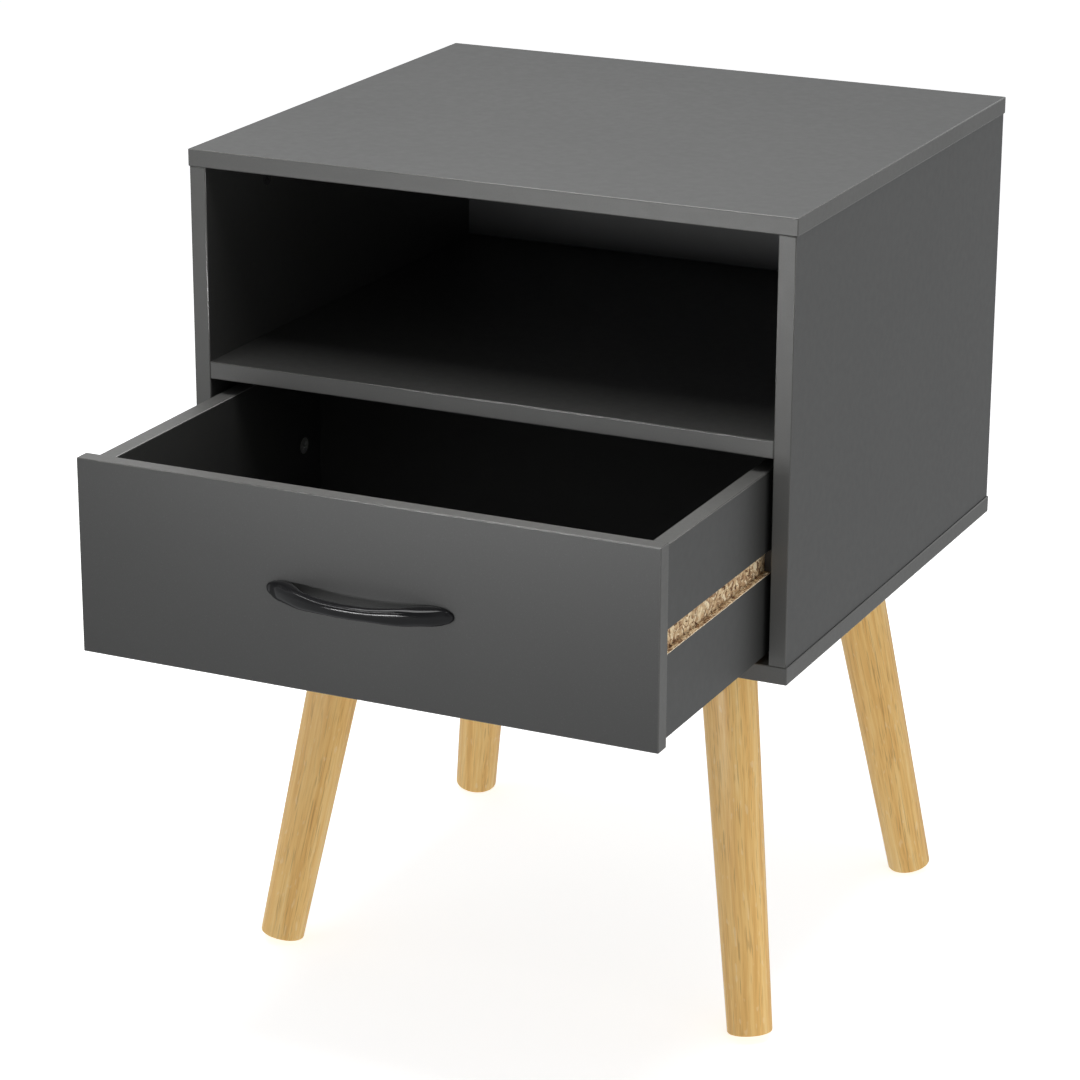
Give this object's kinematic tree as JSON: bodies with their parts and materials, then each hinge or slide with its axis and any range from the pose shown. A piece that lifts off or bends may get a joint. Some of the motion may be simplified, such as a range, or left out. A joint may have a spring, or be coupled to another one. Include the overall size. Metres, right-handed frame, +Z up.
{
  "type": "side table with drawer",
  "caption": "Box-shaped side table on splayed round wooden legs, with an open shelf compartment above an inset drawer with a bow handle.",
  "frame": {"origin": "on the floor, at the middle of the whole object's box with the drawer pulled out as at rest", "axes": "+X to the right seen from the front, +Y to the back, +Z up; the drawer opens towards -Y"},
  "size_m": [0.44, 0.598, 0.59],
  "materials": {
    "melamine": "anthracite melamine foil on chipboard, satin with a very fine orange-peel texture",
    "edge_band": "anthracite plastic edge band, satin, lightly rounded edges",
    "hardboard": "anthracite lacquered hardboard, raw brown on its hidden face",
    "leg_wood": "clear lacquered oak-like hardwood, satin, fine straight pores along the leg",
    "dowel_wood": "raw beech, fluted",
    "zinc": "bright zinc plated",
    "plate_steel": "black powder coat",
    "runner_plastic": "moulded plastic, matt",
    "handle_gloss": "gloss black lacquered cast metal"
  },
  "bodies": {
    "cabinet": {"top_panel": "melamine", "bottom_panel": "melamine", "left_side_panel": "melamine", "right_side_panel": "melamine", "shelf_panel": "melamine", "back_panel": "hardboard", "top_panel_edge_bands": "edge_band", "bottom_panel_edge_bands": "edge_band", "side_panel_edge_bands": "edge_band", "shelf_edge_band": "edge_band", "cabinet_dowels": "dowel_wood", "cabinet_cam_locks": "zinc", "cabinet_cam_bolts": "zinc", "back_panel_nails": "zinc", "left_drawer_runner": "runner_plastic", "right_drawer_runner": "runner_plastic", "runner_screws": "zinc", "front_left_leg_plate": "plate_steel", "front_right_leg_plate": "plate_steel", "rear_left_leg_plate": "plate_steel", "rear_right_leg_plate": "plate_steel", "leg_plate_screws": "zinc", "leg_hanger_bolts": "zinc", "front_left_leg": "leg_wood", "front_right_leg": "leg_wood", "rear_left_leg": "leg_wood", "rear_right_leg": "leg_wood"},
    "drawer": {"drawer_front": "melamine", "drawer_left_side": "melamine", "drawer_right_side": "melamine", "drawer_back": "melamine", "drawer_bottom": "hardboard", "drawer_front_edge_bands": "edge_band", "drawer_box_edge_bands": "edge_band", "drawer_dowels": "dowel_wood", "drawer_cam_locks": "zinc", "drawer_cam_bolts": "zinc", "drawer_handle": "handle_gloss", "handle_screws": "zinc"}
  },
  "joints": [
    {"name": "drawer_slide", "type": "slide", "parent": "cabinet", "child": "drawer", "axis": [0, -1, 0], "range_m": [-0.174, 0.056]}
  ]
}
